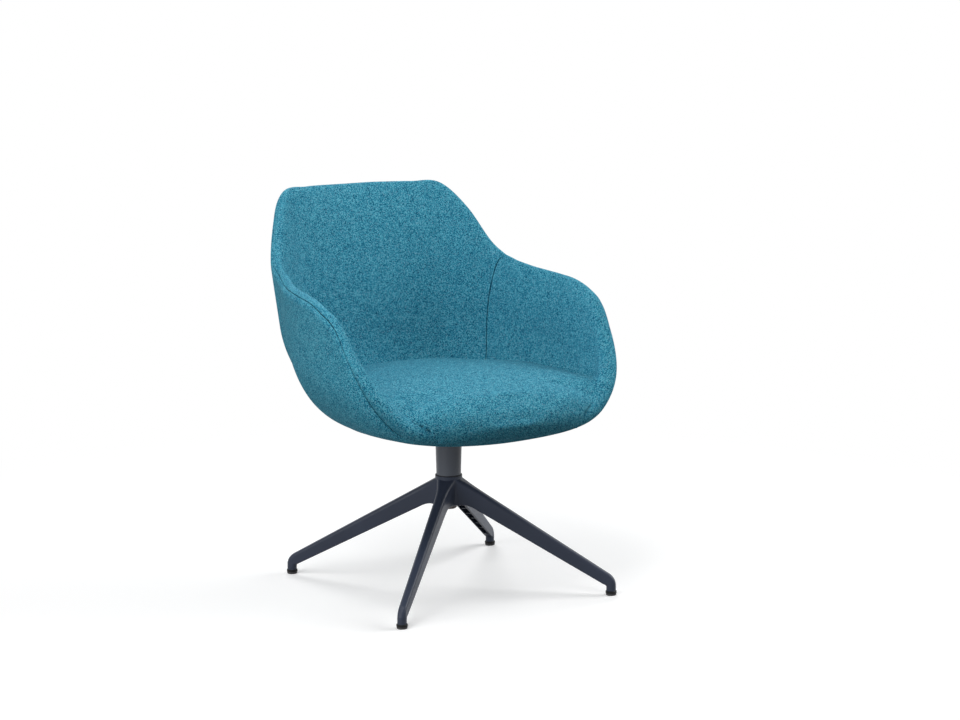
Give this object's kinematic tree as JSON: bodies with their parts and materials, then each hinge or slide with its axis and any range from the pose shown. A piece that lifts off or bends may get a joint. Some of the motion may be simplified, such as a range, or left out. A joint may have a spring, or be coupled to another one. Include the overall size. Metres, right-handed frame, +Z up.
{
  "type": "swivel tub chair",
  "caption": "Upholstered tub armchair with wrap-round padded back and arms, crowned seat cushion and a tapered swivel column on a low four-leg star base.",
  "frame": {"origin": "the point where the swivel axis meets the floor that the four glides stand on", "axes": "+Z up along the swivel axis, -Y to the front where the sitter looks, +X to the sitter's left"},
  "size_m": [0.6148, 0.6693, 0.7713],
  "materials": {
    "base_coat": "satin",
    "column_steel": "satin",
    "cup_steel": "satin",
    "plate_steel": "matte",
    "bearing_steel": "satin",
    "bolt_steel": "satin",
    "black_plastic": "matte",
    "bush_plastic": "matte",
    "glide_black": "matte",
    "sole_grey": "matte",
    "shell_fabric": "matte",
    "back_fabric": "matte",
    "arm_fabric": "matte",
    "seat_fabric": "matte"
  },
  "bodies": {
    "base": {"star_base": "base_coat", "hub_ring": "black_plastic", "column_tube": "column_steel", "end_cup": "cup_steel", "lower_bush": "bush_plastic", "upper_bush": "bush_plastic", "lower_race": "bearing_steel", "glide_cap_rear_left": "glide_black", "glide_cap_rear_right": "glide_black", "glide_cap_front_left": "glide_black", "glide_cap_front_right": "glide_black", "glide_sole_rear_left": "sole_grey", "glide_sole_rear_right": "sole_grey", "glide_sole_front_left": "sole_grey", "glide_sole_front_right": "sole_grey"},
    "bearing_cage": {"roller_cage": "bush_plastic", "bearing_rollers": "bearing_steel"},
    "seat": {"upper_race": "bearing_steel", "spindle": "bearing_steel", "retaining_washer": "bearing_steel", "retaining_clip": "bearing_steel", "seat_plate": "plate_steel", "plate_bolts": "bolt_steel", "tee_nuts": "bolt_steel", "trim_ring": "black_plastic", "tub_shell": "shell_fabric", "inner_back_pad": "back_fabric", "arm_pad_left": "arm_fabric", "arm_pad_right": "arm_fabric", "seat_cushion": "seat_fabric"}
  },
  "joints": [
    {"name": "seat_swivel", "type": "hinge", "parent": "base", "child": "seat", "pos_m": [0, 0, 0.3], "axis": [0, 0, 1], "continuous": true},
    {"name": "cage_turn", "type": "hinge", "parent": "base", "child": "bearing_cage", "pos_m": [0, 0, 0.173], "axis": [0, 0, 1], "continuous": true}
  ],
  "couplings": [
    {"joint": "cage_turn", "follows": "seat_swivel", "ratio": 0.5}
  ]
}
